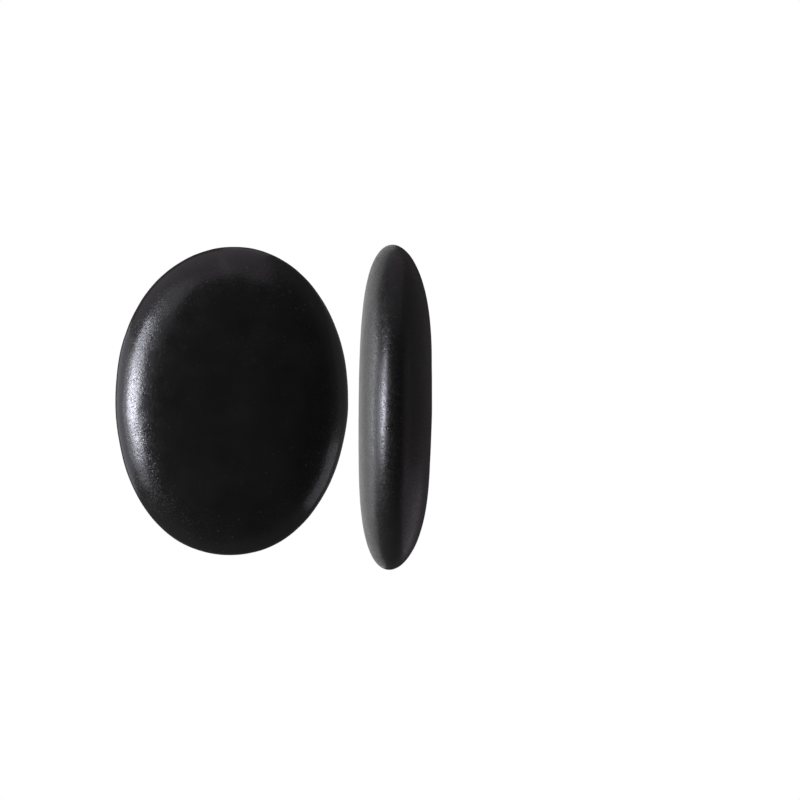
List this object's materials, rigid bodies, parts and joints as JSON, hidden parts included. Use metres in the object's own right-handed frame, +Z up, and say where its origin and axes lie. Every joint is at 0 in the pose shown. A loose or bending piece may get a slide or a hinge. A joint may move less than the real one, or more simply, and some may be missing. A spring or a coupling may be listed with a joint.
{
  "type": "hot massage stones",
  "caption": "Loose oval basalt massage stones with nearly flat faces and round polished rims, which hold heat and are laid on or rubbed along the body.",
  "frame": {"origin": "on the surface that the stones stand on, at the middle of the footprint of the two", "axes": "+Z up, square to the lying stone's broad faces; +X from the lying stone towards the standing one and through the standing stone's broad faces; +Y along both stones' long axes"},
  "size_m": [0.0816, 0.0818, 0.0604],
  "materials": {
    "lying_basalt": "satin",
    "standing_basalt": "satin"
  },
  "bodies": {
    "lying_stone": {"stone_lying_flat": "lying_basalt"},
    "standing_stone": {"stone_on_edge": "standing_basalt"}
  },
  "joints": [
    {"name": "standing_stone_lift", "type": "slide", "parent": "lying_stone", "child": "standing_stone", "axis": [0, 0, 1], "range_m": [0, 0.08]}
  ]
}
